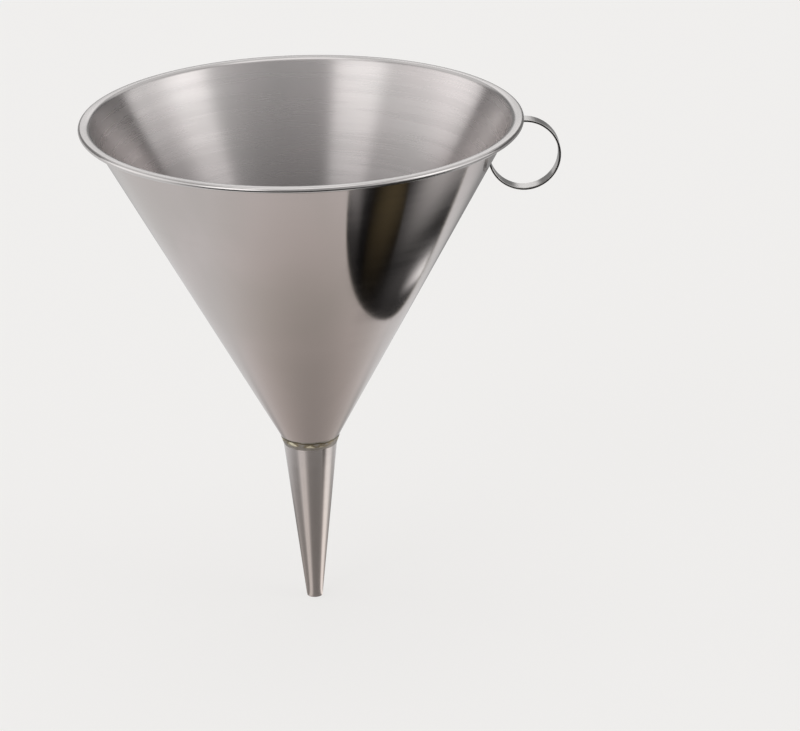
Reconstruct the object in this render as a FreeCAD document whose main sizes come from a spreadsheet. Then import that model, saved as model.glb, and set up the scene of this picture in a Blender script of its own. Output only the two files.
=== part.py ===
import FreeCAD, Part
import math
import os
import Sketcher

# Stainless steel kitchen funnel: a spun conical bowl with a rolled rim, a rolled
# conical spout brazed onto the bowl's neck, and a strip ring spot welded under the rim.
# The frame is +Z up along the funnel's axis, with the origin at the middle of the
# outlet's cut end. The hanging ring lies in the XZ plane on the +X side.
# All lengths are in millimetres.

DIMENSIONS = {
    "rim_radius": 100.0,        # outside of the rolled rim
    "rim_roll": 2.6,            # height of the rolled rim
    "rim_flare": 2.6,           # outer radius of the bend from the wall into the roll
    "hem_radius": 95.8,         # where the rolled sheet ends, under the rim
    "bowl_sheet": 0.6,
    "bowl_height": 152.0,       # from the neck to the middle of the rolled rim
    "wall_radius": 95.2,        # outside of the wall, at the height of the rim's middle
    "neck_radius": 12.5,        # where the lines of the bowl and the spout cross
    "spigot_length": 9.0,       # the part of the bowl inside the spout
    "spout_height": 79.0,       # from the outlet to the neck
    "spout_sheet": 0.6,
    "seat_height": 77.2,        # inner top edge of the spout, where the bowl's bend starts
    "outlet_radius": 3.6,       # outside of the outlet
    "outlet_edge": 0.25,        # rounding of the outlet's outer edge
    "seam_width": 1.2,          # welded seam down the spout
    "braze_lower_toe": 76.8,    # height of the braze's lower edge, on the spout
    "braze_upper_toe": 81.4,    # height of the braze's upper edge, on the bowl
    "braze_crown": 30.0,        # radius of the braze's bulging face
    "ring_offset": 100.0,       # ring centre from the funnel's axis
    "ring_drop": 18.3,          # ring centre below the middle of the rim
    "ring_outer": 16.5,         # outer radius of the ring
    "strip_thickness": 1.0,
    "strip_width": 7.0,
    "strip_edge": 0.25,         # rounding of the strip's long edges
    "strip_bend": 2.5,          # outer radius where the ring turns into its tabs
    "strip_gap": 1.0,           # between the two tab ends, at the ring's back
    "seat_depth": 0.1,          # how far the flat tab is ground to fit the round wall
    "weld_radius": 2.0,
    "weld_spacing": 10.4,       # between the two spot welds, along the wall
    "dimple_radius": 12.0,      # of the electrode that leaves the weld's hollow face
    "dimple_depth": 0.15,
}

doc = FreeCAD.newDocument("Funnel")
sheet = doc.addObject("Spreadsheet::Sheet", "Dimensions")
for row, (alias, value) in enumerate(DIMENSIONS.items(), start=1):
    sheet.set(f"A{row}", alias)
    sheet.set(f"B{row}", str(value))
    sheet.setAlias(f"B{row}", alias)
doc.recompute()

V = FreeCAD.Vector

# Expressions that several sub-parts share, written in the sheet's aliases.
D = "Dimensions."
RIM_Z = f"({D}spout_height + {D}bowl_height)"
WALL_SLOPE = f"atan(({D}wall_radius - {D}neck_radius) / {D}bowl_height)"
SPOUT_SLOPE = f"atan(({D}neck_radius - {D}outlet_radius) / {D}spout_height)"
RING_Z = f"({RIM_Z} - {D}ring_drop)"
# The ring centre's distance from the wall's outer face.
RING_STANDOFF = (f"(({D}ring_offset - {D}wall_radius) * cos({WALL_SLOPE})"
                 f" + {D}ring_drop * sin({WALL_SLOPE}))")

# The same directions as numbers, for the sketches' starting positions.
dim = DIMENSIONS
rim_z = dim["spout_height"] + dim["bowl_height"]
wall_slope = math.atan((dim["wall_radius"] - dim["neck_radius"]) / dim["bowl_height"])
spout_slope = math.atan((dim["neck_radius"] - dim["outlet_radius"]) / dim["spout_height"])
wall_up = V(math.sin(wall_slope), math.cos(wall_slope), 0)
wall_out = V(math.cos(wall_slope), -math.sin(wall_slope), 0)
spout_up = V(math.sin(spout_slope), math.cos(spout_slope), 0)
spout_out = V(math.cos(spout_slope), -math.sin(spout_slope), 0)
neck = V(dim["neck_radius"], dim["spout_height"], 0)

# Lengths closer than this count as equal.
SAME = 1e-6
START = 1
END = 2
CENTRE = 3
ORIGIN = (-1, 1)


class Profile:
    """A sketch in a body's XZ plane: x is the distance from the axis, y the height."""

    def __init__(self, body, name):
        plane = next(f for f in body.Origin.OriginFeatures if f.Role == "XZ_Plane")
        self.sketch = body.newObject("Sketcher::SketchObject", name)
        self.sketch.AttachmentSupport = (plane, [""])
        self.sketch.MapMode = "FlatFace"

    def line(self, start, end, construction=False):
        return self.sketch.addGeometry(Part.LineSegment(start, end), construction)

    def arc(self, centre, start, end):
        """The counter-clockwise arc about centre from start to end."""
        spoke = start - centre
        first = math.atan2(spoke.y, spoke.x)
        spoke_end = end - centre
        last = math.atan2(spoke_end.y, spoke_end.x)
        if last < first:
            last += 2 * math.pi
        circle = Part.Circle(centre, V(0, 0, 1), spoke.Length)
        return self.sketch.addGeometry(Part.ArcOfCircle(circle, first, last), False)

    def point(self, at):
        return self.sketch.addGeometry(Part.Point(at), True)

    def fix(self, *args):
        return self.sketch.addConstraint(Sketcher.Constraint(*args))

    def size(self, name, expression, *args):
        """A constraint with a value, bound to an expression in the sheet's aliases."""
        index = self.fix(*args)
        self.sketch.renameConstraint(index, name)
        self.sketch.setExpression(f"Constraints.{name}", expression)

    def join(self, first, first_end, second, second_end):
        self.fix("Coincident", first, first_end, second, second_end)

    def blend(self, first, first_end, second, second_end):
        self.fix("Tangent", first, first_end, second, second_end)

    def place(self, name, geometry, position, x, y):
        """Hold a point at (x, y), where both are (value, expression)."""
        self.size(f"{name}_x", x[1], "DistanceX", *ORIGIN, geometry, position, x[0])
        self.size(f"{name}_y", y[1], "DistanceY", *ORIGIN, geometry, position, y[0])


def neck_guide(profile):
    """The point where the outer lines of the bowl and the spout cross."""
    guide = profile.point(neck)
    profile.place("neck", guide, START, (neck.x, D + "neck_radius"), (neck.y, D + "spout_height"))
    return guide


def revolve(body, profile, name):
    turned = body.newObject("PartDesign::Revolution", name)
    turned.Profile = profile.sketch
    turned.ReferenceAxis = (profile.sketch, ["V_Axis"])
    turned.Angle = 360
    profile.sketch.Visibility = False
    return turned


def new_body(label):
    body = doc.addObject("PartDesign::Body", label)
    body.Label = label
    return body


def slope_angle(slope):
    """The angle that a line climbing away from the axis makes with the sketch's x axis."""
    return math.pi / 2 - slope


# ---------------------------------------------------------------- shared geometry
spout_face = V(dim["outlet_radius"], 0, 0) - spout_out * dim["spout_sheet"]
seat = spout_face + spout_up * ((dim["seat_height"] - spout_face.y) / spout_up.y)
# The bend between the spigot and the wall starts at the seat; its corner is where the
# spout's inner line meets the wall's outer line.
corner_run = (neck - seat).dot(wall_out) / spout_up.dot(wall_out)
corner = seat + spout_up * corner_run
bend_end = corner + wall_up * corner_run
bend_radius = corner_run / math.tan((wall_slope - spout_slope) / 2)
bend_centre = seat + spout_out * bend_radius


def bowl():
    """Spun sheet: spigot, conical wall and a rim rolled outwards and under."""
    body = new_body("bowl")
    p = Profile(body, "bowl_profile")
    sheet_thickness = dim["bowl_sheet"]
    half_roll = dim["rim_roll"] / 2
    inner_half = half_roll - sheet_thickness
    flare = dim["rim_flare"]
    wall_top = V(dim["wall_radius"], rim_z, 0)
    flare_drop = half_roll - flare
    flare_run = (flare - sheet_thickness + flare_drop * math.sin(wall_slope)) / math.cos(wall_slope)
    flare_centre = wall_top + V(flare_run, flare_drop, 0)
    roll = V(dim["rim_radius"] - half_roll, rim_z, 0)
    up = V(0, 1, 0)

    spigot_foot = seat - spout_up * dim["spigot_length"]
    wall_end = flare_centre - wall_out * (flare - sheet_thickness)
    top_inside = flare_centre + up * (flare - sheet_thickness)
    hem_top = V(dim["hem_radius"], rim_z - inner_half, 0)
    hem_foot = V(dim["hem_radius"], rim_z - half_roll, 0)
    flare_top = flare_centre + up * flare
    inner_wall_end = flare_centre - wall_out * flare
    inner_bend_end = bend_end - wall_out * sheet_thickness
    inner_seat = seat - spout_out * sheet_thickness
    inner_foot = spigot_foot - spout_out * sheet_thickness

    spigot = p.line(spigot_foot, seat)
    bend = p.arc(bend_centre, bend_end, seat)
    wall = p.line(bend_end, wall_end)
    flare_in = p.arc(flare_centre, top_inside, wall_end)
    roof_in = p.line(top_inside, roll + up * inner_half)
    roll_in = p.arc(roll, roll - up * inner_half, roll + up * inner_half)
    hem_upper = p.line(roll - up * inner_half, hem_top)
    hem_end = p.line(hem_top, hem_foot)
    hem_lower = p.line(hem_foot, roll - up * half_roll)
    roll_out = p.arc(roll, roll - up * half_roll, roll + up * half_roll)
    roof_out = p.line(roll + up * half_roll, flare_top)
    flare_out = p.arc(flare_centre, flare_top, inner_wall_end)
    inner_wall = p.line(inner_wall_end, inner_bend_end)
    inner_bend = p.arc(bend_centre, inner_bend_end, inner_seat)
    inner_spigot = p.line(inner_seat, inner_foot)
    foot = p.line(inner_foot, spigot_foot)

    p.blend(spigot, END, bend, END)
    p.blend(bend, START, wall, START)
    p.blend(wall, END, flare_in, END)
    p.blend(flare_in, START, roof_in, START)
    p.blend(roof_in, END, roll_in, END)
    p.blend(roll_in, START, hem_upper, START)
    p.join(hem_upper, END, hem_end, START)
    p.join(hem_end, END, hem_lower, START)
    p.blend(hem_lower, END, roll_out, START)
    p.blend(roll_out, END, roof_out, START)
    p.blend(roof_out, END, flare_out, START)
    p.blend(flare_out, END, inner_wall, START)
    p.blend(inner_wall, END, inner_bend, START)
    p.blend(inner_bend, END, inner_spigot, START)
    p.join(inner_spigot, END, foot, START)
    p.join(foot, END, spigot, START)

    for level in (roof_in, hem_upper, hem_lower, roof_out):
        p.fix("Horizontal", level)
    p.fix("Vertical", hem_end)
    p.fix("Perpendicular", spigot, foot)
    p.fix("Parallel", wall, inner_wall)
    p.fix("Parallel", spigot, inner_spigot)
    p.fix("Coincident", roll_in, CENTRE, roll_out, CENTRE)
    p.fix("Horizontal", bend, CENTRE, inner_bend, CENTRE)
    guide = neck_guide(p)
    p.fix("PointOnObject", guide, START, wall)
    p.place("roll", roll_out, CENTRE,
            (roll.x, f"{D}rim_radius - {D}rim_roll / 2"), (roll.y, RIM_Z))
    p.size("half_roll", D + "rim_roll / 2", "Radius", roll_out, half_roll)
    p.size("inner_half_roll", f"{D}rim_roll / 2 - {D}bowl_sheet", "Radius", roll_in, inner_half)
    p.size("flare", D + "rim_flare", "Radius", flare_out, flare)
    p.size("inner_flare", f"{D}rim_flare - {D}bowl_sheet", "Radius", flare_in, flare - sheet_thickness)
    p.size("wall_angle", f"90 deg - {WALL_SLOPE}", "Angle", wall, slope_angle(wall_slope))
    p.size("spigot_angle", f"90 deg - {SPOUT_SLOPE}", "Angle", spigot, slope_angle(spout_slope))
    p.size("wall_sheet", D + "bowl_sheet", "Distance", inner_wall, START, wall, sheet_thickness)
    p.size("hem", D + "hem_radius", "DistanceX", *ORIGIN, hem_end, START, hem_top.x)
    p.size("spigot_length", D + "spigot_length", "Distance", spigot, dim["spigot_length"])
    p.size("spigot_sheet", D + "bowl_sheet", "Distance", foot, sheet_thickness)
    p.place("seat", spigot, END,
            (seat.x, f"{D}outlet_radius - {D}spout_sheet / cos({SPOUT_SLOPE})"
                     f" + {D}seat_height * tan({SPOUT_SLOPE})"),
            (seat.y, D + "seat_height"))
    revolve(body, p, "bowl_shell")
    return body


def spout_profile_points():
    """The outer lines' ends, from the outlet up to the seat."""
    outer_foot = V(dim["outlet_radius"], 0, 0)
    outer_seat = seat + spout_out * dim["spout_sheet"]
    return outer_foot, outer_seat


def spout_blank():
    """Rolled sheet, square cut at both ends, before its seam is welded."""
    body = new_body("spout_blank")
    p = Profile(body, "spout_profile")
    outer_foot, outer_seat = spout_profile_points()
    edge = dim["outlet_edge"]
    half_corner = math.tan(slope_angle(spout_slope) / 2)
    edge_centre = outer_foot + V(-edge / half_corner, edge, 0)
    edge_foot = V(edge_centre.x, 0, 0)
    edge_side = edge_centre + spout_out * edge
    inner_foot = V(dim["outlet_radius"] - dim["spout_sheet"] / math.cos(spout_slope), 0, 0)

    inner = p.line(inner_foot, seat)
    top = p.line(seat, outer_seat)
    outer = p.line(outer_seat, edge_side)
    rounding = p.arc(edge_centre, edge_foot, edge_side)
    foot = p.line(edge_foot, inner_foot)
    p.join(inner, END, top, START)
    p.join(top, END, outer, START)
    p.blend(outer, END, rounding, END)
    p.blend(rounding, START, foot, START)
    p.join(foot, END, inner, START)
    p.fix("Parallel", inner, outer)
    p.fix("Perpendicular", inner, top)
    p.fix("PointOnObject", foot, START, ORIGIN[0])
    p.fix("Horizontal", foot)
    guide = neck_guide(p)
    p.fix("PointOnObject", guide, START, outer)
    p.size("spout_angle", f"90 deg - {SPOUT_SLOPE}", "Angle", inner, slope_angle(spout_slope))
    p.size("spout_sheet", D + "spout_sheet", "Distance", top, dim["spout_sheet"])
    p.size("outlet_edge", D + "outlet_edge", "Radius", rounding, edge)
    p.size("seat_height", D + "seat_height", "DistanceY", *ORIGIN, inner, END, seat.y)
    revolve(body, p, "spout_shell")
    return body


def bound(kind, name, **expressions):
    """A Part primitive whose sizes follow the sheet."""
    solid = doc.addObject(kind, name)
    for prop, expression in expressions.items():
        solid.setExpression(prop, expression)
    return solid


def combine(kind, label, base, tool):
    result = doc.addObject(kind, label)
    result.Label = label
    result.Base = base
    result.Tool = tool
    return result


def spout_and_seam():
    """The rolled spout, open opposite the ring, and the weld metal that closes it."""
    blank = spout_blank()
    slit = bound("Part::Box", "seam_slit", Length=D + "neck_radius", Width=D + "seam_width",
                 Height=D + "spout_height")
    slit.setExpression("Placement.Base.x", f"-{D}neck_radius")
    slit.setExpression("Placement.Base.y", f"-{D}seam_width / 2")
    spout = combine("Part::Cut", "spout", blank, slit)
    seam = combine("Part::Common", "spout_seam", blank, slit)
    return spout, seam


def neck_braze():
    """Brazing metal in the corner between the bowl and the spout's square top edge."""
    body = new_body("neck_braze")
    p = Profile(body, "braze_profile")
    outer_foot, outer_seat = spout_profile_points()
    lower_toe = outer_foot + spout_up * (dim["braze_lower_toe"] / spout_up.y)
    upper_toe = neck + wall_up * ((dim["braze_upper_toe"] - neck.y) / wall_up.y)
    chord = upper_toe - lower_toe
    across = V(chord.y, -chord.x, 0) / chord.Length
    crown_depth = math.sqrt(dim["braze_crown"] ** 2 - (chord.Length / 2) ** 2)
    crown_centre = lower_toe + chord / 2 - across * crown_depth

    side = p.line(lower_toe, outer_seat)
    top = p.line(outer_seat, seat)
    bend = p.arc(bend_centre, bend_end, seat)
    wall = p.line(bend_end, upper_toe)
    crown = p.arc(crown_centre, lower_toe, upper_toe)
    below = p.line(seat - spout_up * dim["spout_sheet"], seat, construction=True)
    p.join(side, END, top, START)
    p.join(top, END, bend, END)
    p.blend(below, END, bend, END)
    p.blend(bend, START, wall, START)
    p.join(wall, END, crown, END)
    p.join(crown, START, side, START)
    p.fix("Parallel", below, side)
    p.fix("Perpendicular", top, below)
    guide = neck_guide(p)
    p.fix("PointOnObject", guide, START, wall)
    p.size("wall_angle", f"90 deg - {WALL_SLOPE}", "Angle", wall, slope_angle(wall_slope))
    p.size("spout_angle", f"90 deg - {SPOUT_SLOPE}", "Angle", below, slope_angle(spout_slope))
    p.size("below", D + "spout_sheet", "Distance", below, dim["spout_sheet"])
    p.size("spout_sheet", D + "spout_sheet", "Distance", top, dim["spout_sheet"])
    p.place("seat", below, END,
            (seat.x, f"{D}outlet_radius - {D}spout_sheet / cos({SPOUT_SLOPE})"
                     f" + {D}seat_height * tan({SPOUT_SLOPE})"),
            (seat.y, D + "seat_height"))
    p.size("lower_toe", D + "braze_lower_toe", "DistanceY", *ORIGIN, side, START, lower_toe.y)
    p.size("upper_toe", D + "braze_upper_toe", "DistanceY", *ORIGIN, wall, END, upper_toe.y)
    p.size("crown", D + "braze_crown", "Radius", crown, dim["braze_crown"])
    revolve(body, p, "braze_ring")
    return body


ring_centre = V(dim["ring_offset"], rim_z - dim["ring_drop"], 0)
ring_standoff = (ring_centre - V(dim["wall_radius"], rim_z, 0)).dot(wall_out)


def strip_blank():
    """The bent strip's side profile, padded to its width, with its long edges rounded."""
    body = new_body("strip_blank")
    p = Profile(body, "strip_profile")
    thickness = dim["strip_thickness"]
    outer = dim["ring_outer"]
    bend = dim["strip_bend"]
    half_gap = dim["strip_gap"] / 2
    # Distances from the ring's centre to the tab's outer and inner faces.
    back = ring_standoff + dim["seat_depth"]
    front = back - thickness
    bend_across = math.sqrt((outer - bend) ** 2 - (back - bend) ** 2)

    def at(towards_wall, along_wall):
        return ring_centre - wall_out * towards_wall + wall_up * along_wall

    def bend_point(side, radius):
        """Bend centre, its end on the tab and its end on the ring, for side +1 or -1."""
        centre = at(back - bend, side * bend_across)
        on_tab = centre - wall_out * radius
        spoke = centre - ring_centre
        on_ring = centre + spoke * (radius / spoke.Length)
        return centre, on_tab, on_ring

    up_centre, up_tab, up_ring = bend_point(1, bend)
    low_centre, low_tab, low_ring = bend_point(-1, bend)
    _, up_tab_in, up_ring_in = bend_point(1, bend - thickness)
    _, low_tab_in, low_ring_in = bend_point(-1, bend - thickness)

    tab_up = p.line(at(back, half_gap), up_tab)
    bend_up = p.arc(up_centre, up_ring, up_tab)
    ring_out = p.arc(ring_centre, low_ring, up_ring)
    bend_low = p.arc(low_centre, low_tab, low_ring)
    tab_low = p.line(low_tab, at(back, -half_gap))
    end_low = p.line(at(back, -half_gap), at(front, -half_gap))
    tab_low_in = p.line(at(front, -half_gap), low_tab_in)
    bend_low_in = p.arc(low_centre, low_tab_in, low_ring_in)
    ring_in = p.arc(ring_centre, low_ring_in, up_ring_in)
    bend_up_in = p.arc(up_centre, up_ring_in, up_tab_in)
    tab_up_in = p.line(up_tab_in, at(front, half_gap))
    end_up = p.line(at(front, half_gap), at(back, half_gap))
    spoke = p.line(ring_centre, at(back, 0), construction=True)

    p.blend(tab_up, END, bend_up, END)
    p.blend(bend_up, START, ring_out, END)
    p.blend(ring_out, START, bend_low, END)
    p.blend(bend_low, START, tab_low, START)
    p.join(tab_low, END, end_low, START)
    p.join(end_low, END, tab_low_in, START)
    p.blend(tab_low_in, END, bend_low_in, START)
    p.blend(bend_low_in, END, ring_in, START)
    p.blend(ring_in, END, bend_up_in, START)
    p.blend(bend_up_in, END, tab_up_in, START)
    p.join(tab_up_in, END, end_up, START)
    p.join(end_up, END, tab_up, START)

    p.join(spoke, START, ring_out, CENTRE)
    p.join(ring_in, CENTRE, ring_out, CENTRE)
    p.fix("PointOnObject", spoke, END, tab_up)
    p.fix("PointOnObject", tab_low, END, tab_up)
    for square in (spoke, end_up, end_low):
        p.fix("Perpendicular", square, tab_up)
    p.fix("Parallel", tab_low, tab_up)
    p.fix("Parallel", tab_up_in, tab_up)
    p.fix("Parallel", tab_low_in, tab_up)
    p.place("ring", ring_out, CENTRE, (ring_centre.x, D + "ring_offset"), (ring_centre.y, RING_Z))
    p.size("wall_angle", f"90 deg - {WALL_SLOPE}", "Angle", tab_up, slope_angle(wall_slope))
    p.size("standoff", f"{RING_STANDOFF} + {D}seat_depth", "Distance", spoke, back)
    p.size("ring_outer", D + "ring_outer", "Radius", ring_out, outer)
    p.size("ring_inner", f"{D}ring_outer - {D}strip_thickness", "Radius", ring_in, outer - thickness)
    p.size("upper_bend", D + "strip_bend", "Radius", bend_up, bend)
    p.size("lower_bend", D + "strip_bend", "Radius", bend_low, bend)
    p.size("upper_tab", D + "strip_thickness", "Distance", end_up, thickness)
    p.size("lower_tab", D + "strip_thickness", "Distance", end_low, thickness)
    p.size("upper_bend_in", f"{D}strip_bend - {D}strip_thickness", "Radius", bend_up_in,
           bend - thickness)
    p.size("lower_bend_in", f"{D}strip_bend - {D}strip_thickness", "Radius", bend_low_in,
           bend - thickness)
    p.size("upper_gap", D + "strip_gap / 2", "Distance", tab_up, START, spoke, half_gap)
    p.size("lower_gap", D + "strip_gap / 2", "Distance", tab_low, END, spoke, half_gap)

    pad = body.newObject("PartDesign::Pad", "strip_pad")
    pad.Profile = p.sketch
    pad.Midplane = True
    pad.setExpression("Length", D + "strip_width")
    p.sketch.Visibility = False
    doc.recompute()

    half_width = dim["strip_width"] / 2
    long_edges = [f"Edge{number}" for number, edge in enumerate(pad.Shape.Edges, start=1)
                  if all(abs(abs(vertex.Y) - half_width) < SAME for vertex in edge.Vertexes)
                  and abs(edge.CenterOfMass.y) > half_width - SAME]
    rounding = body.newObject("PartDesign::Fillet", "strip_rounding")
    rounding.Base = (pad, long_edges)
    rounding.setExpression("Radius", D + "strip_edge")
    body.Tip = rounding
    return body


def lean(solid, along_wall, off_wall):
    """Set a solid's own Z along the wall's outward normal, at a place on the tabs."""
    solid.Placement.Rotation = FreeCAD.Rotation(V(0, 1, 0), 90)
    solid.setExpression("Placement.Rotation.Angle", f"90 deg + {WALL_SLOPE}")
    foot_x = f"({D}ring_offset - {RING_STANDOFF} * cos({WALL_SLOPE}))"
    foot_z = f"({RING_Z} + {RING_STANDOFF} * sin({WALL_SLOPE}))"
    solid.setExpression("Placement.Base.x", f"{foot_x} + ({along_wall}) * sin({WALL_SLOPE})"
                                            f" + ({off_wall}) * cos({WALL_SLOPE})")
    solid.setExpression("Placement.Base.z", f"{foot_z} + ({along_wall}) * cos({WALL_SLOPE})"
                                            f" - ({off_wall}) * sin({WALL_SLOPE})")


def handle_and_welds():
    """The strip ring with its tabs fitted to the round wall, and its two spot welds."""
    blank = strip_blank()
    wall = bound("Part::Cone", "wall_form", Radius1=D + "neck_radius", Radius2=D + "wall_radius",
                 Height=D + "bowl_height")
    wall.setExpression("Placement.Base.z", D + "spout_height")
    fitted = combine("Part::Cut", "fitted_strip", blank, wall)
    welds = []
    ring = fitted
    for name, side in (("upper", 1), ("lower", -1)):
        along = f"{side} * {D}weld_spacing / 2"
        face = f"{D}strip_thickness - {D}seat_depth"
        core = bound("Part::Cylinder", f"{name}_weld_core", Radius=D + "weld_radius",
                     Height=D + "strip_thickness")
        lean(core, along, f"-{D}seat_depth")
        ring_label = "handle_ring" if name == "lower" else "half_drilled_strip"
        ring = combine("Part::Cut", ring_label, ring, core)
        electrode = bound("Part::Sphere", f"{name}_electrode", Radius=D + "dimple_radius")
        lean(electrode, along, f"{face} - {D}dimple_depth + {D}dimple_radius")
        seated = combine("Part::Cut", f"{name}_weld_seated", core, wall)
        welds.append(combine("Part::Cut", f"{name}_spot_weld", seated, electrode))
    return [ring, *welds]


sub_parts = [bowl(), *spout_and_seam(), neck_braze(), *handle_and_welds()]
doc.recompute()

for obj in doc.Objects:
    if "Invalid" in obj.State or "Error" in obj.State:
        raise RuntimeError(f"{obj.Name} failed: {obj.State}")
for sub_part in sub_parts:
    if sub_part.Shape.isNull() or not sub_part.Shape.isValid():
        raise RuntimeError(f"{sub_part.Label} has no valid shape")

os.makedirs("parts", exist_ok=True)
for sub_part in sub_parts:
    sub_part.Shape.exportStep(f"parts/{sub_part.Label}.step")
    print(sub_part.Label, "solids", len(sub_part.Shape.Solids), "volume", round(sub_part.Shape.Volume, 2))
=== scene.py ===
import math

import bpy
from mathutils import Matrix, Vector, noise


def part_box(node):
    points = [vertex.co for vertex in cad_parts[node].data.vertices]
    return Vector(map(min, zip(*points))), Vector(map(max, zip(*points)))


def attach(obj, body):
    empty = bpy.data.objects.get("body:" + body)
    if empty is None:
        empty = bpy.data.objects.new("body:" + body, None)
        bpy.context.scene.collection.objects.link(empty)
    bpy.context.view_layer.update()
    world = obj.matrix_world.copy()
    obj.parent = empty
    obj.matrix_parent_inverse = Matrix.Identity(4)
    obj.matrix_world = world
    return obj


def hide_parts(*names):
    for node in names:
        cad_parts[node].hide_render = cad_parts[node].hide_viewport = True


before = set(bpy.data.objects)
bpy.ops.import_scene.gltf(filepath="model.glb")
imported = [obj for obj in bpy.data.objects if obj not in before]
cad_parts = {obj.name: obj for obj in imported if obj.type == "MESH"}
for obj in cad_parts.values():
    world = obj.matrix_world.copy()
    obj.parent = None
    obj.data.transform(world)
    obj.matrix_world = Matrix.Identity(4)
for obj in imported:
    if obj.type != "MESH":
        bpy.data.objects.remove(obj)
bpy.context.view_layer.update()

scene = bpy.context.scene

# ---------------------------------------------------------------- sizes, in metres
BOWL_LOW, BOWL_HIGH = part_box("bowl")
SPOUT_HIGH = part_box("spout")[1]
BRAZE_LOW, BRAZE_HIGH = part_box("neck_braze")

SHEET = 0.0006
RIM_RADIUS = (BOWL_HIGH.x - BOWL_LOW.x) / 2
RIM_ROLL = 0.0026
RIM_FLARE = 0.0026
RIM_Z = BOWL_HIGH.z - RIM_ROLL / 2
HEM_RADIUS = 0.0958
WALL_RADIUS = 0.0952
NECK_RADIUS = 0.0125
NECK_Z = 0.079
OUTLET_RADIUS = 0.0036
OUTLET_EDGE = 0.00025
SEAT_Z = SPOUT_HIGH.z
SPIGOT_LENGTH = 0.009

SEAM_WIDTH = 0.0012
SEAM_CROWN = 0.00014
SEAM_SINK = 0.00003
SEAM_ROOT = SEAM_SINK * 3
# The seam is opposite the ring.
SEAM_TURN = math.pi
SEAM_DRIFT = SEAM_WIDTH / 8
SEAM_END = OUTLET_EDGE * 2
RIPPLE_TURN = 1.9
RIPPLE_DEPTH = 0.25
# How fast the noise changes from step to step, and where the ripples' noise is read.
DRIFT_PACE = 0.05
RIPPLE_PACE = 0.02
RIPPLE_PLACE = 3

BRAZE_SUNK = SHEET / 2
BRAZE_BULGE = 0.00012
BRAZE_BULGE_SPREAD = 0.0001
BRAZE_EDGE_SPREAD = 0.0009
# The noise that makes the braze uneven: its waves round the joint and up the face.
BULGE_WAVES = 3
BULGE_CLIMB = 2
EDGE_WAVES = 5
EDGE_CLIMB = 0.4
EDGE_PLACE = 7

# How finely the pieces are divided.
SHARP_EDGE = math.radians(38)
BOWL_TURNS = 288
SPOUT_TURNS = 144
BRAZE_TURNS = 220
BRAZE_STEPS = 16
SEAM_STEPS = 420
SEAM_STEPS_ACROSS = 8
WALL_STEPS = 90
BEND_STEPS = 6
SPIGOT_STEPS = 6
FLARE_STEPS_OUT = 8
FLARE_STEPS_IN = 10
ROLL_STEPS_IN = 12
ROLL_STEPS_OUT = 20
HEM_STEPS = 3
SPOUT_STEPS_IN = 30
SPOUT_STEPS_OUT = 60
EDGE_STEPS = 5
# The end of the flare that has the inside's finish already, in points.
FLARE_POINTS_INSIDE = 4

# ---------------------------------------------------------------- finishes
# Turned steel: tint, shade, lowest and highest roughness, anisotropy, groove depth.
OUTSIDE_FINISH = ((0.655, 0.597, 0.583), (0.605, 0.56, 0.54), 0.125, 0.15, 0.9, 0.000002)
RIM_FINISH = ((0.70, 0.67, 0.66), (0.62, 0.595, 0.585), 0.16, 0.22, 0.5, 0.000002)
INSIDE_FINISH = ((0.72, 0.672, 0.665), (0.67, 0.64, 0.63), 0.25, 0.29, 0.96, 0.0000015)
SPOUT_FINISH = ((0.64, 0.60, 0.59), (0.60, 0.57, 0.555), 0.17, 0.20, 0.93, 0.000001)
# The inside's colour is painted darker deep down, as painted shade in the bowl's hollow: it
# reaches the share at the first height, in metres, and its full tint at the second.
INSIDE_PAINTED_SHADE = (0.155, 0.228, 0.3)
# Strip and weld: tint, shade, lowest and highest roughness.
STRIP_FINISH = ((0.68, 0.655, 0.64), (0.60, 0.58, 0.565), 0.10, 0.18)
WELD_FINISH = ((0.55, 0.53, 0.50), (0.46, 0.44, 0.41), 0.28, 0.4)

# Noise lies mostly between these two values.
NOISE_LOW = 0.3
NOISE_HIGH = 0.7
# How often each pattern repeats, per metre along x, y and z.
RINGS = (9, 9, 1500)
BANDS = (14, 14, 260)
CLOUDS = (22, 22, 12)
STRIP_CLOUDS = (160, 160, 160)
STRIP_MARKS = (900, 2600, 900)
BRAZE_WAVES = (130, 130, 60)
BRAZE_BEADS = (170, 170, 330)
BRAZE_GRAIN = (900, 900, 900)
STREAK_NOISE = (0.56, 0.78)
STREAK_SHARE = 0.2
STREAK_SHADE = 0.9
RING_WEAR = 0.01
MARK_DEPTH = 0.00001
QUARTER_TURN = 0.25

# The filler's row of beads, in metres over its lower edge and under its upper one,
# then the dark line, under its upper edge.
BEADS_OVER = (0.0014, 0.0020)
BEADS_UNDER = (0.0013, 0.0008)
LINE_BELOW = (0.0014, 0.0009)
LINE_ABOVE = (0.0007, 0.0003)
BRAZE_WAVER = 0.0004
BEAD_NOISE = (0.50, 0.60)
STAIN_NOISE = (0.36, 0.50)
STAIN_SHARE = 0.75
LINE_SHARE = 0.85
GRAIN_SHARE = 0.1
BEAD_DEPTH = 0.00012
BRAZE_ROUGH = (0.36, 0.5)
BRAZE_STEEL = (0.45, 0.43, 0.40)
BRAZE_STEEL_SHADE = (0.36, 0.34, 0.31)
BRAZE_STAIN = (0.30, 0.24, 0.13)
BRAZE_BEAD = (0.98, 0.93, 0.74)
BRAZE_LINE = (0.11, 0.09, 0.045)

# ---------------------------------------------------------------- joint of wall and spout
WALL_SLOPE = math.atan((WALL_RADIUS - NECK_RADIUS) / (RIM_Z - NECK_Z))
SPOUT_SLOPE = math.atan((NECK_RADIUS - OUTLET_RADIUS) / NECK_Z)


def up_along(slope):
    return Vector((math.sin(slope), math.cos(slope)))


def out_from(slope):
    return Vector((math.cos(slope), -math.sin(slope)))


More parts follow.
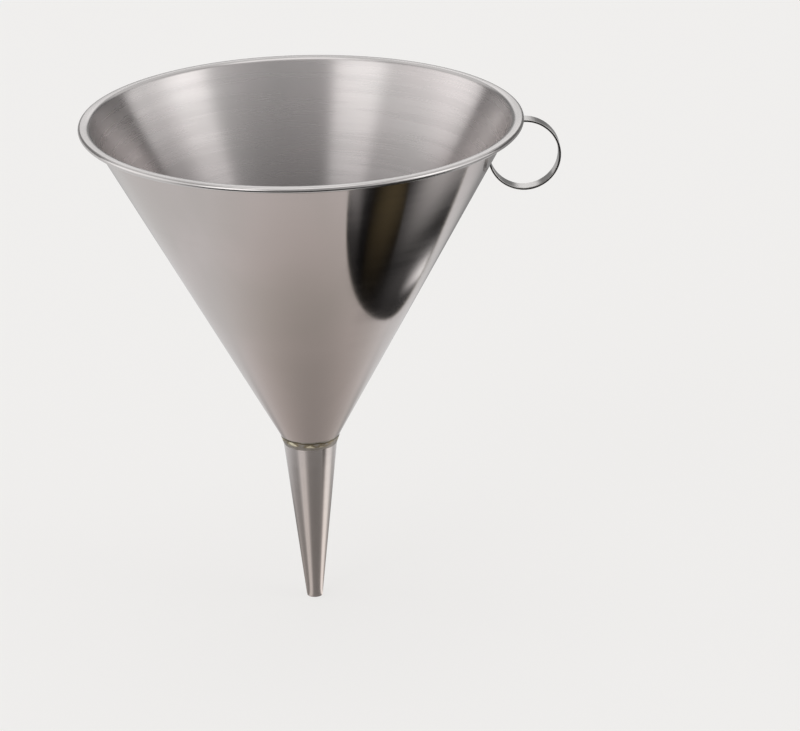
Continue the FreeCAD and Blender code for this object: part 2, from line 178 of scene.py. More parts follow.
wall_up = up_along(WALL_SLOPE)
wall_out = out_from(WALL_SLOPE)
spout_up = up_along(SPOUT_SLOPE)
spout_out = out_from(SPOUT_SLOPE)
neck = Vector((NECK_RADIUS, NECK_Z))
spout_face = Vector((OUTLET_RADIUS, 0)) - spout_out * SHEET
seat = spout_face + spout_up * ((SEAT_Z - spout_face.y) / spout_up.y)
corner_run = (neck - seat).dot(wall_out) / spout_up.dot(wall_out)
corner = seat + spout_up * corner_run
bend_end = corner + wall_up * corner_run
bend_radius = corner_run / math.tan((WALL_SLOPE - SPOUT_SLOPE) / 2)
bend_centre = seat + spout_out * bend_radius


# ---------------------------------------------------------------- mesh helpers
def arc(centre, radius, start, end, steps):
    """Points on an arc about centre, from angle start to angle end, both included."""
    points = []
    for i in range(steps + 1):
        angle = start + (end - start) * i / steps
        points.append(centre + radius * Vector((math.cos(angle), math.sin(angle))))
    return points


def angle_of(vector):
    return math.atan2(vector.y, vector.x)


def run(start, end, steps):
    """Points on a straight line, without its first point."""
    return [start.lerp(end, i / steps) for i in range(1, steps + 1)]


def new_piece(name, vertices, faces, materials, slot, *nodes, finish=None):
    """A mesh piece that stands for CAD nodes; finish gives each face's material."""
    mesh = bpy.data.meshes.new(name)
    mesh.from_pydata(vertices, [], faces)
    for material in materials:
        mesh.materials.append(material)
    if finish:
        mesh.polygons.foreach_set("material_index", finish)
    mesh.update()
    mesh.shade_smooth()
    mesh.set_sharp_from_angle(angle=SHARP_EDGE)
    piece = bpy.data.objects.new(name, mesh)
    scene.collection.objects.link(piece)
    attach(piece, "root")
    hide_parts(*nodes)
    return piece


def turned_faces(turns, count):
    """Quads between closed outlines of count points that stand round Z."""
    faces = []
    for i in range(turns):
        here = i * count
        there = (i + 1) % turns * count
        for j in range(count):
            k = (j + 1) % count
            faces.append((here + j, there + j, there + k, here + k))
    return faces


def lathe(profile, turns):
    """Vertices and faces of a closed profile turned round Z, seen from outside."""
    vertices = []
    for i in range(turns):
        angle = 2 * math.pi * i / turns
        for radius, height in profile:
            vertices.append((radius * math.cos(angle), radius * math.sin(angle), height))
    faces = [tuple(reversed(face)) for face in turned_faces(turns, len(profile))]
    return vertices, faces


def band(turns, rings, centre):
    """Vertices and quads of an open band between two rings, each a radius and a height."""
    vertices = []
    for i in range(turns):
        angle = 2 * math.pi * i / turns
        spoke = Vector((math.cos(angle), math.sin(angle), 0))
        for radius, height in rings:
            vertices.append(tuple(centre + spoke * radius + Vector((0, 0, height))))
    faces = []
    for i in range(turns):
        j = (i + 1) % turns
        faces.append((2 * i, 2 * j, 2 * j + 1, 2 * i + 1))
    return vertices, faces


# ---------------------------------------------------------------- materials
class Nodes:
    """A node tree with the helpers that the finishes and the studio's glows share."""

    def __init__(self, tree, place):
        self.tree = tree
        self.place = place

    def node(self, kind, **settings):
        made = self.tree.nodes.new(kind)
        for key, value in settings.items():
            setattr(made, key, value)
        return made

    def link(self, output, target):
        self.tree.links.new(output, target)

    def spread(self, value, low, high, to_low, to_high, smooth=True):
        """Map low to to_low and high to to_high, and hold them beyond."""
        made = self.node("ShaderNodeMapRange")
        made.interpolation_type = "SMOOTHSTEP" if smooth else "LINEAR"
        self.link(value, made.inputs["Value"])
        made.inputs["From Min"].default_value = low
        made.inputs["From Max"].default_value = high
        made.inputs["To Min"].default_value = to_low
        made.inputs["To Max"].default_value = to_high
        return made.outputs["Result"]

    def rise(self, value, start, end):
        """From 0 to 1 between two sockets' values."""
        made = self.node("ShaderNodeMapRange", interpolation_type="SMOOTHSTEP")
        self.link(value, made.inputs["Value"])
        self.link(start, made.inputs["From Min"])
        self.link(end, made.inputs["From Max"])
        return made.outputs["Result"]

    def math(self, operation, first, second=0):
        made = self.node("ShaderNodeMath", operation=operation)
        for socket, value in zip(made.inputs, (first, second)):
            if isinstance(value, (int, float)):
                socket.default_value = value
            else:
                self.link(value, socket)
        return made.outputs["Value"]

    def between(self, value, low, high):
        """1 in a range and 0 outside it; low and high each say where an end's blend runs."""
        risen = self.spread(value, *low, 0, 1)
        return self.math("MULTIPLY", risen, self.spread(value, *high, 1, 0))

    def vector_scale(self, vector, share):
        """A vector, a tuple or a socket, times a socket's number."""
        made = self.node("ShaderNodeVectorMath", operation="SCALE")
        if isinstance(vector, tuple):
            made.inputs[0].default_value = vector
        else:
            self.link(vector, made.inputs[0])
        self.link(share, made.inputs["Scale"])
        return made.outputs["Vector"]

    def mix(self, share, first, second):
        """Blend of two colours, each a colour or a socket, by a socket's share."""
        made = self.node("ShaderNodeMix", data_type="RGBA")
        self.link(share, made.inputs["Factor"])
        for key, value in (("A", first), ("B", second)):
            socket = next(i for i in made.inputs if i.name == key and i.type == "RGBA")
            if isinstance(value, tuple):
                socket.default_value = (*value, 1)
            else:
                self.link(value, socket)
        return next(o for o in made.outputs if o.type == "RGBA")


class Look(Nodes):
    """A Principled material."""

    def __init__(self, name, metallic=1.0):
        self.material = bpy.data.materials.new(name)
        self.material.use_nodes = True
        super().__init__(self.material.node_tree, None)
        self.shader = self.tree.nodes["Principled BSDF"]
        self.shader.inputs["Metallic"].default_value = metallic
        self.place = self.node("ShaderNodeTexCoord").outputs["Object"]

    def height(self):
        parts = self.node("ShaderNodeSeparateXYZ")
        self.link(self.place, parts.inputs["Vector"])
        return parts.outputs["Z"]

    def noise(self, per_metre, detail=3.0, roughness=0.5, distortion=0.0):
        """Noise whose pattern repeats so often per metre along x, y and z."""
        scaled = self.node("ShaderNodeVectorMath", operation="MULTIPLY")
        self.link(self.place, scaled.inputs[0])
        scaled.inputs[1].default_value = per_metre
        made = self.node("ShaderNodeTexNoise")
        self.link(scaled.outputs["Vector"], made.inputs["Vector"])
        made.inputs["Scale"].default_value = 1.0
        made.inputs["Detail"].default_value = detail
        made.inputs["Roughness"].default_value = roughness
        made.inputs["Distortion"].default_value = distortion
        return made.outputs["Fac"]

    def stretch(self, noise_value, to_low, to_high):
        """Map the range in which noise mostly lies."""
        return self.spread(noise_value, NOISE_LOW, NOISE_HIGH, to_low, to_high)

    def bump(self, height, depth):
        made = self.node("ShaderNodeBump")
        made.inputs["Strength"].default_value = 1.0
        made.inputs["Distance"].default_value = depth
        self.link(height, made.inputs["Height"])
        return made.outputs["Normal"]

    def brushed_round_axis(self, anisotropic):
        """Reflections stretch across the fine rings that run round the Z axis."""
        tangent = self.node("ShaderNodeTangent", direction_type="RADIAL", axis="Z")
        self.link(tangent.outputs["Tangent"], self.shader.inputs["Tangent"])
        self.shader.inputs["Anisotropic"].default_value = anisotropic
        self.shader.inputs["Anisotropic Rotation"].default_value = QUARTER_TURN


def ringed_steel(name, tint, shade, rough_low, rough_high, anisotropic, groove, painted_shade=None):
    """Stainless sheet finished in a lathe: fine rings and a cloudy tint.

    painted_shade gives two heights and a share: the colour darkens, as painted shade, to that
    share towards the first.
    """
    look = Look(name)
    look.brushed_round_axis(anisotropic)
    rings = look.noise(RINGS, detail=4, roughness=0.65)
    bands = look.noise(BANDS)
    clouds = look.noise(CLOUDS, detail=2, distortion=0.6)
    cloudy = look.mix(look.stretch(clouds, 0, 1), tint, shade)
    darker = tuple(c * STREAK_SHADE for c in shade)
    colour = look.mix(look.spread(rings, *STREAK_NOISE, 0, STREAK_SHARE), cloudy, darker)
    # Painted shade: the colour is darkened towards the bottom of the bowl's hollow.
    if painted_shade:
        low, high, least = painted_shade
        share = look.spread(look.height(), low, high, least, 1, smooth=False)
        colour = look.vector_scale(colour, share)
    look.link(colour, look.shader.inputs["Base Color"])
    worn = look.math("ADD", look.stretch(bands, rough_low, rough_high),
                     look.stretch(rings, -RING_WEAR, RING_WEAR))
    look.link(worn, look.shader.inputs["Roughness"])
    look.link(look.bump(rings, groove), look.shader.inputs["Normal"])
    return look.material


def plain_steel(name, tint, shade, rough_low, rough_high):
    """Bright rolled strip or ground weld metal: cloudy, with fine marks."""
    look = Look(name)
    clouds = look.noise(STRIP_CLOUDS)
    marks = look.noise(STRIP_MARKS, detail=2)
    cloudy = look.mix(look.stretch(clouds, 0, 1), tint, shade)
    look.link(cloudy, look.shader.inputs["Base Color"])
    look.link(look.stretch(marks, rough_low, rough_high), look.shader.inputs["Roughness"])
    look.link(look.bump(marks, MARK_DEPTH), look.shader.inputs["Normal"])
    return look.material


def brazing_metal(name):
    """Filler ground back to steel grey, with pale yellow beads left under a dark line."""
    look = Look(name)
    height = look.height()
    waver = look.noise(BRAZE_WAVES, detail=2)
    level = look.math("ADD", height, look.stretch(waver, -BRAZE_WAVER, BRAZE_WAVER))
    beads = look.noise(BRAZE_BEADS, detail=2)
    grain = look.noise(BRAZE_GRAIN, detail=2)
    low, high = BRAZE_LOW.z, BRAZE_HIGH.z
    row = look.between(level, [low + z for z in BEADS_OVER], [high - z for z in BEADS_UNDER])
    line = look.between(level, [high - z for z in LINE_BELOW], [high - z for z in LINE_ABOVE])
    steel = look.mix(look.stretch(grain, 0, 1), BRAZE_STEEL, BRAZE_STEEL_SHADE)
    bead = look.math("MULTIPLY", row, look.spread(beads, *BEAD_NOISE, 0, 1))
    stain = look.math("MULTIPLY", row, look.spread(beads, *STAIN_NOISE, 0, STAIN_SHARE))
    stained = look.mix(stain, steel, BRAZE_STAIN)
    beaded = look.mix(bead, stained, BRAZE_BEAD)
    lined = look.mix(look.math("MULTIPLY", line, LINE_SHARE), beaded, BRAZE_LINE)
    look.link(lined, look.shader.inputs["Base Color"])
    look.link(look.spread(bead, 0, 1, *BRAZE_ROUGH), look.shader.inputs["Roughness"])
    raised = look.math("ADD", bead, look.math("MULTIPLY", grain, GRAIN_SHARE))
    look.link(look.bump(raised, BEAD_DEPTH), look.shader.inputs["Normal"])
    return look.material


# ---------------------------------------------------------------- pieces
def bowl_profile():
    """The sheet's outline, up the outside, over the rim and down the inside.

    With it come the points' finishes: 0 outside, 1 on the rolled rim, 2 inside.
    """
    half_roll = RIM_ROLL / 2
    inner_half = half_roll - SHEET
    wall_top = Vector((WALL_RADIUS, RIM_Z))
    flare_drop = half_roll - RIM_FLARE
    flare_run = (RIM_FLARE - SHEET + flare_drop * math.sin(WALL_SLOPE)) / math.cos(WALL_SLOPE)
    flare_centre = wall_top + Vector((flare_run, flare_drop))
    roll = Vector((RIM_RADIUS - half_roll, RIM_Z))
    up = math.pi / 2
    to_wall = angle_of(-wall_out)
    to_spout = angle_of(-spout_out)

    spigot_foot = seat - spout_up * SPIGOT_LENGTH
    points = [spigot_foot] + run(spigot_foot, seat, SPIGOT_STEPS)
    points += arc(bend_centre, bend_radius, to_spout, to_wall, BEND_STEPS)[1:]
    wall_end = flare_centre - wall_out * (RIM_FLARE - SHEET)
    points += run(points[-1], wall_end, WALL_STEPS)
    wall_count = len(points)
    points += arc(flare_centre, RIM_FLARE - SHEET, to_wall, up, FLARE_STEPS_OUT)[1:]
    points += arc(roll, inner_half, up, -up, ROLL_STEPS_IN)
    hem_top = Vector((HEM_RADIUS, RIM_Z - inner_half))
    hem_foot = Vector((HEM_RADIUS, RIM_Z - half_roll))
    points += run(roll - Vector((0, inner_half)), hem_top, HEM_STEPS)
    points.append(hem_foot)
    points += arc(roll, half_roll, -up, up, ROLL_STEPS_OUT)
    points += arc(flare_centre, RIM_FLARE, up, to_wall, FLARE_STEPS_IN)
    rim_count = len(points) - FLARE_POINTS_INSIDE
    inner_bend_end = bend_end - wall_out * SHEET
    points += run(points[-1], inner_bend_end, WALL_STEPS)
    points += arc(bend_centre, bend_radius + SHEET, to_wall, to_spout, BEND_STEPS)[1:]
    inner_foot = spigot_foot - spout_out * SHEET
    points += run(points[-1], inner_foot, SPIGOT_STEPS)
    finishes = [0 if j < wall_count else 1 if j < rim_count else 2 for j in range(len(points))]
    return points, finishes


def make_bowl():
    profile, finishes = bowl_profile()
    vertices, faces = lathe(profile, BOWL_TURNS)
    outside = ringed_steel("bowl_outside_steel", *OUTSIDE_FINISH)
    rim = ringed_steel("bowl_rim_steel", *RIM_FINISH)
    # The inside carries painted shade deep in the bowl's hollow.
    inside = ringed_steel("bowl_inside_steel", *INSIDE_FINISH, painted_shade=INSIDE_PAINTED_SHADE)
    new_piece("spun_bowl", vertices, faces, (outside, rim, inside), "bowl_steel", "bowl",
              finish=finishes * BOWL_TURNS)


def spout_profile():
    """The rolled sheet's outline: up the inside, across the top, down the outside."""
    outer_foot = Vector((OUTLET_RADIUS, 0))
    outer_seat = seat + spout_out * SHEET
    half_corner = math.tan((math.pi / 2 - SPOUT_SLOPE) / 2)
    edge_centre = outer_foot + Vector((-OUTLET_EDGE / half_corner, OUTLET_EDGE))
    inner_foot = Vector((OUTLET_RADIUS - SHEET / math.cos(SPOUT_SLOPE), 0))
    points = [inner_foot] + run(inner_foot, seat, SPOUT_STEPS_IN) + [outer_seat]
    points += run(outer_seat, edge_centre + spout_out * OUTLET_EDGE, SPOUT_STEPS_OUT)
    points += arc(edge_centre, OUTLET_EDGE, angle_of(spout_out), -math.pi / 2, EDGE_STEPS)[1:]
    return points


def make_spout():
    vertices, faces = lathe(spout_profile(), SPOUT_TURNS)
    look = ringed_steel("spout_steel", *SPOUT_FINISH)
    new_piece("rolled_spout", vertices, faces, (look,), "spout_steel", "spout")


def seam_section(i):
    """The bead's outline at one step of its run: the crown, then the root under it."""
    foot = Vector((OUTLET_RADIUS, SEAM_END))
    length = (SEAT_Z - foot.y) / spout_up.y - SHEET
    along = foot + spout_up * (SEAM_END + (length - SEAM_END * 2) * i / SEAM_STEPS)
    drift = noise.noise(Vector((0, 0, i * DRIFT_PACE))) * SEAM_DRIFT
    swell = noise.noise(Vector((RIPPLE_PLACE, 0, i * RIPPLE_PACE)))
    ripple = 1 + RIPPLE_DEPTH * math.sin(i * RIPPLE_TURN) * swell
    section = []
    for j in range(SEAM_STEPS_ACROSS + 1):
        side = 2 * j / SEAM_STEPS_ACROSS - 1
        crown = SEAM_CROWN * (1 - side * side) * ripple - SEAM_SINK
        angle = SEAM_TURN + (side * SEAM_WIDTH / 2 + drift) / along.x
        radius = along.x + crown
        section.append((radius * math.cos(angle), radius * math.sin(angle), along.y))
    deep = along.x - SEAM_ROOT
    section.append((deep * math.cos(SEAM_TURN), deep * math.sin(SEAM_TURN), along.y))
    return section


def make_seam():
    """The spout's weld, ground nearly flush, with the faint ripples of its run."""
    vertices = []
    for i in range(SEAM_STEPS + 1):
        vertices += seam_section(i)
    count = SEAM_STEPS_ACROSS + 2
    faces = []
    for i in range(SEAM_STEPS):
        here = i * count
        there = here + count
        for j in range(count):
            k = (j + 1) % count
            faces.append((here + j, here + k, there + k, there + j))
    faces.append(tuple(reversed(range(count))))
    faces.append(tuple(range(SEAM_STEPS * count, (SEAM_STEPS + 1) * count)))
    new_piece("seam_bead", vertices, faces, (weld_look,), "weld_metal", "spout_seam")


def braze_section(around, lower_toe, upper_toe):
    """The filler's face in one direction round the axis, then its root in the corner."""
    middle = (lower_toe + upper_toe) / 2
    across = Vector((upper_toe.y - lower_toe.y, lower_toe.x - upper_toe.x)).normalized()
    core = middle - across * BRAZE_SUNK
    section = []
    for j in range(BRAZE_STEPS + 1):
        share = j / BRAZE_STEPS
        wobble = noise.noise(around * BULGE_WAVES + Vector((0, 0, share * BULGE_CLIMB)))
        bulge = math.sin(math.pi * share) * (BRAZE_BULGE + BRAZE_BULGE_SPREAD * wobble)
        ragged = noise.noise(around * EDGE_WAVES + Vector((0, 0, EDGE_PLACE + share * EDGE_CLIMB)))
        edge = (share - 0.5) * BRAZE_EDGE_SPREAD * ragged
        point = lower_toe.lerp(upper_toe, share) + across * bulge
        point += (upper_toe - lower_toe).normalized() * edge
        section.append((point.x * around.x, point.x * around.y, point.y))
    section.append((core.x * around.x, core.x * around.y, core.y))
    return section


def make_braze():
    """The filler's bulging face, uneven along its edges, round the joint."""
    lower_toe = Vector((OUTLET_RADIUS, 0)) + spout_up * (BRAZE_LOW.z / spout_up.y)
    upper_toe = neck + wall_up * ((BRAZE_HIGH.z - neck.y) / wall_up.y)
    vertices = []
    for i in range(BRAZE_TURNS):
        angle = 2 * math.pi * i / BRAZE_TURNS
        around = Vector((math.cos(angle), math.sin(angle), 0))
        vertices += braze_section(around, lower_toe, upper_toe)
    faces = turned_faces(BRAZE_TURNS, BRAZE_STEPS + 2)
    look = brazing_metal("braze_look")
    new_piece("braze_fillet", vertices, faces, (look,), "braze", "neck_braze")


strip_look = plain_steel("strip_look", *STRIP_FINISH)
weld_look = plain_steel("weld_look", *WELD_FINISH)
make_bowl()
make_spout()
make_seam()
make_braze()
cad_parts["handle_ring"].data.materials[0] = strip_look
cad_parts["upper_spot_weld"].data.materials[0] = weld_look
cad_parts["lower_spot_weld"].data.materials[0] = weld_look

# ---------------------------------------------------------------- stage
CAMERA_TURN = math.radians(-2)


class Glow(Nodes):
    """An emissive surface or sky whose brightness is worked out by nodes."""

    def split(self, centre=(0, 0, 0)):
        """x, y and z about a centre, with x to the camera's right and y away from it."""
        turned = self.node("ShaderNodeVectorRotate", rotation_type="Z_AXIS")
        self.link(self.place, turned.inputs["Vector"])
        turned.inputs["Angle"].default_value = -CAMERA_TURN
        shifted = self.node("ShaderNodeVectorMath", operation="SUBTRACT")
        self.link(turned.outputs["Vector"], shifted.inputs[0])
        shifted.inputs[1].default_value = centre
        parts = self.node("ShaderNodeSeparateXYZ")
        self.link(shifted.outputs["Vector"], parts.inputs["Vector"])
        return parts.outputs["X"], parts.outputs["Y"], parts.outputs["Z"]

    def turn_share(self, x, y):
        """Azimuth as a share of a full turn, anticlockwise from the camera's right."""
        return self.math("FRACT", self.math("DIVIDE", self.math("ARCTAN2", y, x), 2 * math.pi))

    def ramp(self, share, stops, top):
        """Grey levels at azimuths in degrees, brightness up to top."""
        made = self.node("ShaderNodeValToRGB")
        self.link(share, made.inputs["Fac"])
        elements = made.color_ramp.elements
        elements.remove(elements[1])
        elements[0].position = stops[0][0] / 360
        elements[0].color = (*[stops[0][1] / top] * 3, 1)
        for degrees, level in stops[1:]:
            element = elements.new(degrees / 360)
            element.color = (*[level / top] * 3, 1)
        return self.math("MULTIPLY", made.outputs["Color"], top)


# Brightness round the studio, at azimuths in degrees anticlockwise from the camera's
# right: the soft boxes' belt, and the ceiling over it. CEILING_EDGE says how high the
# belt ends there, as the height of a direction one long.
BELT = (
    (0, 1.1), (8, 0.88), (14, 0.86), (23.5, 1.05), (27, 0.10), (50, 0.13), (90, 0.28),
    (138, 0.24), (148, 0.14), (152, 1.15), (171, 1.25), (191, 1.02), (212, 0.92), (217, 0.94),
    (220, 1.55), (238, 1.5), (247, 1.25), (252, 0.55), (258, 0.42), (285, 0.39), (305, 0.48),
    (328, 0.78), (331, 1.5), (350, 1.55), (360, 1.1),
)
CEILING = (
    (0, 0.4), (50, 0.75), (130, 0.75), (180, 0.4), (225, 0.4), (270, 0.28), (315, 0.35),
    (360, 0.4),
)
CEILING_EDGE = (
    (0, 0.6), (40, 0.40), (140, 0.40), (180, 0.6), (270, 0.7), (360, 0.6),
)
TOP = 2.0
CEILING_BLEND = 0.22
# A light straight overhead, and a low box behind, which the flat of the rim mirrors.
ZENITH = (0.90, 0.97)
ZENITH_LEVEL = 1.2
BACK_BOX_TURN = 0.25
BACK_BOX_WIDTH = 0.06
BACK_BOX_FOOT = (0.22, 0.29)
BACK_BOX_HEAD = (0.42, 0.50)
BACK_BOX_LEVEL = 1.05


def hide_from_camera(thing):
    thing.visible_camera = False
    thing.visible_diffuse = False
    thing.visible_shadow = False
    thing.visible_transmission = False
    thing.visible_volume_scatter = False


def make_world():
    world = bpy.data.worlds.new("studio")
    scene.world = world
    world.use_nodes = True
    tree = world.node_tree
    coordinate = tree.nodes.new("ShaderNodeTexCoord")
    sky = Glow(tree, coordinate.outputs["Generated"])
    x, y, z = sky.split()
    share = sky.turn_share(x, y)
    belt = sky.ramp(share, BELT, TOP)
    ceiling = sky.ramp(share, CEILING, TOP)
    edge = sky.ramp(share, CEILING_EDGE, 1.0)
    above = sky.rise(z, edge, sky.math("ADD", edge, CEILING_BLEND))
    level = sky.mix(above, belt, ceiling)
    level = sky.mix(sky.spread(z, *ZENITH, 0, 1), level, (ZENITH_LEVEL,) * 3)
    aside = sky.math("ABSOLUTE", sky.math("SUBTRACT", share, BACK_BOX_TURN))
    wide = sky.spread(aside, BACK_BOX_WIDTH / 2, BACK_BOX_WIDTH, 1, 0)
    high = sky.between(z, BACK_BOX_FOOT, BACK_BOX_HEAD)
    level = sky.mix(sky.math("MULTIPLY", wide, high), level, (BACK_BOX_LEVEL,) * 3)
    sky.link(level, tree.nodes["Background"].inputs["Color"])


def stage_mesh(name, vertices, faces):
    mesh = bpy.data.meshes.new(name)
    mesh.from_pydata(vertices, [], faces)
    thing = bpy.data.objects.new(name, mesh)
    scene.collection.objects.link(thing)
    return thing


def glow_material(name):
    material = bpy.data.materials.new(name)
    material.use_nodes = True
    tree = material.node_tree
    tree.nodes.remove(tree.nodes["Principled BSDF"])
    emission = tree.nodes.new("ShaderNodeEmission")
    tree.links.new(emission.outputs[0], tree.nodes["Material Output"].inputs["Surface"])
    coordinate = tree.nodes.new("ShaderNodeTexCoord")
    return material, Glow(tree, coordinate.outputs["Object"]), emission


FLOOR_SIZE = 12
FLOOR_PAINT = (0.252, 0.250, 0.245, 1)
FLOOR_ROUGH = 0.9
FLOOR_GLOW = (0.985, 0.972, 0.96, 1)
FLOOR_GLOW_STRENGTH = 0.69
CARD_LIFT = 0.0001
# The middle of the painted shadow on the ground card.
SHADE_CENTRE = (0.010, -0.035, 0)


# The floor round the funnel, at azimuths in degrees: what the spout mirrors of it, how
# far it stays bright, in metres, and how bright it is beyond.
SPOUT_GROUND = (
    (0, 1.2), (14, 1.1), (30, 0.55), (60, 0.35), (75, 0.12), (105, 0.12), (130, 0.36),
    (154, 0.44), (175, 0.32), (198, 0.28), (208, 0.42), (219, 0.78), (240, 0.78), (251, 0.42),
    (262, 0.24), (287, 0.20), (313, 0.22), (332, 0.34), (348, 1.1), (360, 1.2),
)
GROUND_REACH = (
    (0, 0.26), (50, 0.30), (86, 0.28), (100, 0.35), (180, 0.40), (200, 0.30), (225, 0.20),
    (270, 0.17), (315, 0.20), (360, 0.26),
)
GROUND_FAR = (
    (0, 0.4), (20, 0.35), (60, 0.3), (90, 0.28), (102, 0.5), (140, 0.75), (180, 0.8),
    (200, 0.7), (215, 0.2), (225, 0.03), (315, 0.03), (345, 0.15), (360, 0.4),
)
GROUND_BLEND = 1.6
# Painted shadow: close under the funnel the wall mirrors the floor darker, as in the
# funnel's shadow: levels at the centre and at a distance in metres.
GROUND_SHADOW_LEVELS = (0.34, 0.71)
GROUND_SHADOW_END = 0.19
# The spout mirrors the floor at a shallow angle, by Layer Weight's Facing, and no
# further off than this, in metres.
FACING_BLEND = 0.5
SPOUT_FACING = (0.25, 0.40)
SPOUT_GROUND_END = (0.12, 0.2)
# The painted shadow close by is tinted a little warm in the steel: its tint there, its tint
# beyond, and between which distances it fades, in metres.
WARM_SHADOW = (1.06, 0.985, 0.93)
PLAIN_GROUND = (1.0, 1.0, 1.0)
WARM_SHADOW_END = (0.05, 0.2)


def square(size, height):
    """Corners and face of a level square with its middle on the axis."""
    corners = []
    for x, y in ((-size, -size), (size, -size), (size, size), (-size, size)):
        corners.append((x, y, height))
    return corners, [(0, 1, 2, 3)]


def make_floor():
    floor = stage_mesh("floor", *square(FLOOR_SIZE, 0))
    look = Look("floor_paint", metallic=0)
    look.shader.inputs["Base Color"].default_value = FLOOR_PAINT
    look.shader.inputs["Roughness"].default_value = FLOOR_ROUGH
    look.shader.inputs["Specular IOR Level"].default_value = 0
    look.shader.inputs["Emission Color"].default_value = FLOOR_GLOW
    look.shader.inputs["Emission Strength"].default_value = FLOOR_GLOW_STRENGTH
    floor.data.materials.append(look.material)
    floor.visible_glossy = False


def make_ground_card():
    """What the steel mirrors below it: the floor, with a painted shadow close under the funnel."""
    card = stage_mesh("ground_card", *square(FLOOR_SIZE, CARD_LIFT))
    hide_from_camera(card)
    material, glow, emission = glow_material("ground_glow")
    x, y, _ = glow.split(SHADE_CENTRE)
    squares = glow.math("ADD", glow.math("MULTIPLY", x, x), glow.math("MULTIPLY", y, y))
    distance = glow.math("SQRT", squares)
    share = glow.turn_share(x, y)
    # Painted shadow of the funnel on the mirrored floor, darkest round SHADE_CENTRE.
    painted_shadow = glow.spread(distance, 0, GROUND_SHADOW_END, *GROUND_SHADOW_LEVELS)
    on_axis = glow.split()
    grazed = glow.ramp(glow.turn_share(*on_axis[:2]), SPOUT_GROUND, TOP)
    weight = glow.node("ShaderNodeLayerWeight")
    weight.inputs["Blend"].default_value = FACING_BLEND
    shallow = glow.math("MULTIPLY", glow.spread(weight.outputs["Facing"], *SPOUT_FACING, 0, 1),
                        glow.spread(distance, *SPOUT_GROUND_END, 1, 0))
    near = glow.mix(shallow, painted_shadow, grazed)
    # The painted shadow's warm tint.
    warm = glow.mix(glow.spread(distance, *WARM_SHADOW_END, 0, 1), WARM_SHADOW, PLAIN_GROUND)
    shaded = glow.node("ShaderNodeVectorMath", operation="MULTIPLY")
    glow.link(warm, shaded.inputs[0])
    glow.link(near, shaded.inputs[1])
    reach = glow.ramp(share, GROUND_REACH, 1.0)
    far = glow.rise(distance, reach, glow.math("MULTIPLY", reach, GROUND_BLEND))
    level = glow.mix(far, shaded.outputs["Vector"], glow.ramp(share, GROUND_FAR, TOP))
    glow.link(level, emission.inputs["Color"])
    card.data.materials.append(material)


# A glowing cone of card beside the funnel, which the wall mirrors as a dark tongue: its place,
# and its brightness at azimuths in degrees round its own axis. Its glow is painted shade and a
# painted highlight streak, the light and shade of a shaded hollow.
FLAG_CENTRE = (0.1284, -0.066, 0)
FLAG_TOP = 0.1362
FLAG_RADIUS = 0.0924
FLAG_FOOT = 0.0006
FLAG_RIM = 0.0024
FLAG_TURNS = 96
FLAG = (
    (0, 0.10), (15, 0.35), (29, 0.62), (44, 0.75), (55, 0.60), (65, 0.43), (75, 0.29),
    (83, 0.17), (90, 0.03), (100, 0.015), (106, 0.06), (113, 0.09), (125, 0.05), (140, 0.02),
    (188, 0.012), (196, 0.03), (203, 0.07), (208, 0.17), (213, 0.30), (222, 0.32), (240, 0.25),
    (262, 0.05), (360, 0.10),
)
FLAG_PAINTED_HIGHLIGHT = (
    (0, 0), (107, 0), (113, 0.3), (119, 1.1), (124, 1.1), (128, 0.3), (131, 0), (360, 0),
)
# Where the brightness fades, in metres below the card's top, and what is left of it.
FLAG_SIDES_MEET = 0.45
FLAG_RIGHT_FADE = (0.03, 0.11, 1, 0.12)
FLAG_LEFT_FADE = (0.01, 0.07, 1, 0.03)
FLAG_HIGHLIGHT_FADE = (0.004, 0.036, 1, 0)
# The olive foot of the tongue, a painted shade: its colour, its top edge, and how it darkens away
# from the camera and to the left.
FLAG_BOTTOM = (0.085, 0.068, 0.036)
FLAG_BOTTOM_EDGE = (0.030, 0.034)
FLAG_BOTTOM_SLANT = 0.6
FLAG_BOTTOM_ALONG = (-0.035, 0.022, 1.3, 0.02)
FLAG_BOTTOM_ASIDE = (-0.02, 0.03, 0.25, 1.2)
FLAG_RIM_LEVEL = (0.23, 0.22, 0.19)
FLAG_RIM_EDGE = (FLAG_TOP - FLAG_RIM * 1.2, FLAG_TOP - FLAG_RIM * 0.8)


def flag_foot(glow, x, y):
    along = glow.math("SUBTRACT", y, glow.math("MULTIPLY", x, FLAG_BOTTOM_SLANT))
    towards = glow.math("MULTIPLY", glow.spread(along, *FLAG_BOTTOM_ALONG, smooth=False),
                        glow.spread(x, *FLAG_BOTTOM_ASIDE, smooth=False))
    return glow.vector_scale(FLAG_BOTTOM, towards)


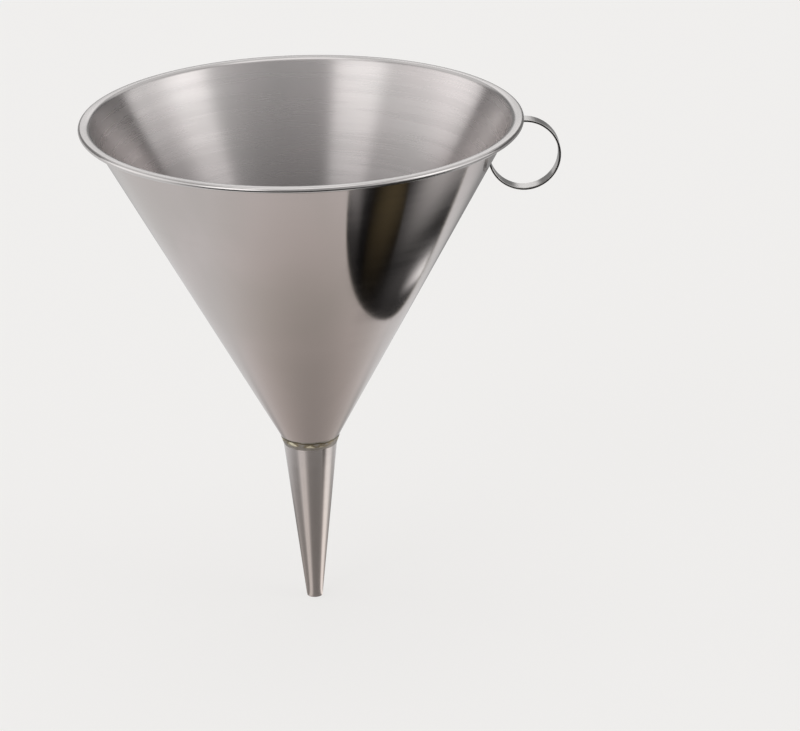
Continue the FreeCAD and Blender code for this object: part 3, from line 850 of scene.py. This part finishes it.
def make_flag():
    slope = (WALL_RADIUS - NECK_RADIUS) / (RIM_Z - NECK_Z)
    foot_radius = FLAG_RADIUS - slope * (FLAG_TOP - FLAG_FOOT)
    centre = Matrix.Rotation(CAMERA_TURN, 3, "Z") @ Vector(FLAG_CENTRE)
    rings = ((foot_radius, FLAG_FOOT), (FLAG_RADIUS, FLAG_TOP))
    vertices, faces = band(FLAG_TURNS, rings, centre)
    faces.append(tuple(range(0, 2 * FLAG_TURNS, 2)))
    flag = stage_mesh("dark_flag", vertices, faces)
    hide_from_camera(flag)
    material, glow, emission = glow_material("flag_glow")
    x, y, z = glow.split(FLAG_CENTRE)
    share = glow.turn_share(x, y)
    # Painted light and shade round the cone.
    around = glow.ramp(share, FLAG, TOP)
    depth = glow.math("SUBTRACT", FLAG_TOP, z)
    right_fade = glow.spread(depth, *FLAG_RIGHT_FADE)
    left_fade = glow.spread(depth, *FLAG_LEFT_FADE)
    fade = glow.mix(glow.math("GREATER_THAN", share, FLAG_SIDES_MEET), right_fade, left_fade)
    # Painted highlight: a bright streak down the cone's inside.
    painted_highlight = glow.math("MULTIPLY", glow.ramp(share, FLAG_PAINTED_HIGHLIGHT, TOP),
                       glow.spread(depth, *FLAG_HIGHLIGHT_FADE))
    inner = glow.math("ADD", glow.math("MULTIPLY", around, fade), painted_highlight)
    bottom = glow.spread(z, *FLAG_BOTTOM_EDGE, 1, 0)
    olive = glow.mix(bottom, inner, flag_foot(glow, x, y))
    rim = glow.spread(z, *FLAG_RIM_EDGE, 0, 1)
    level = glow.mix(rim, olive, FLAG_RIM_LEVEL)
    glow.link(level, emission.inputs["Color"])
    flag.data.materials.append(material)


BACKDROP_RADIUS = 8
BACKDROP_FOOT = -1
BACKDROP_TOP = 9
BACKDROP_TURNS = 64
BACKDROP_GLOW = (0.861, 0.853, 0.842, 1)


def make_backdrop():
    """A pale wall far off, seen only by the camera, so that low views have no horizon."""
    rings = ((BACKDROP_RADIUS, BACKDROP_FOOT), (BACKDROP_RADIUS, BACKDROP_TOP))
    wall = stage_mesh("backdrop", *band(BACKDROP_TURNS, rings, Vector((0, 0, 0))))
    wall.visible_diffuse = False
    wall.visible_glossy = False
    wall.visible_shadow = False
    material, _, emission = glow_material("backdrop_glow")
    emission.inputs["Color"].default_value = BACKDROP_GLOW
    wall.data.materials.append(material)


# The camera stands two metres off, a little above the rim, and is turned slightly
# about its own axis.
CAMERA_DISTANCE = 2.0
CAMERA_ELEVATION = math.radians(20.633)
CAMERA_ROLL = math.radians(-1.266)
CAMERA_LENS = 200.8
CAMERA_SENSOR = 36
CAMERA_REACH = 100
AIM_RIGHT = 0.0444
AIM_DOWN = 0.1095


def make_camera():
    data = bpy.data.cameras.new("camera")
    data.lens = CAMERA_LENS
    data.sensor_width = CAMERA_SENSOR
    data.clip_end = CAMERA_REACH
    camera = bpy.data.objects.new("camera", data)
    scene.collection.objects.link(camera)
    lean = CAMERA_ELEVATION
    right = Vector((1, 0, 0))
    down = Vector((0, -math.sin(lean), -math.cos(lean)))
    ahead = Vector((0, math.cos(lean), -math.sin(lean)))
    c, s = math.cos(CAMERA_ROLL), math.sin(CAMERA_ROLL)
    rolled_right = c * right - s * down
    rolled_down = s * right + c * down
    turn = Matrix.Rotation(CAMERA_TURN, 3, "Z")
    right, down, ahead = turn @ rolled_right, turn @ rolled_down, turn @ ahead
    place = Vector((0, 0, RIM_Z)) + AIM_RIGHT * right + AIM_DOWN * down - CAMERA_DISTANCE * ahead
    basis = Matrix((right, -down, -ahead)).transposed().to_4x4()
    camera.matrix_world = Matrix.Translation(place) @ basis
    scene.camera = camera


make_floor()
make_ground_card()
make_flag()
make_backdrop()
make_world()
make_camera()
scene.view_settings.view_transform = "Standard"
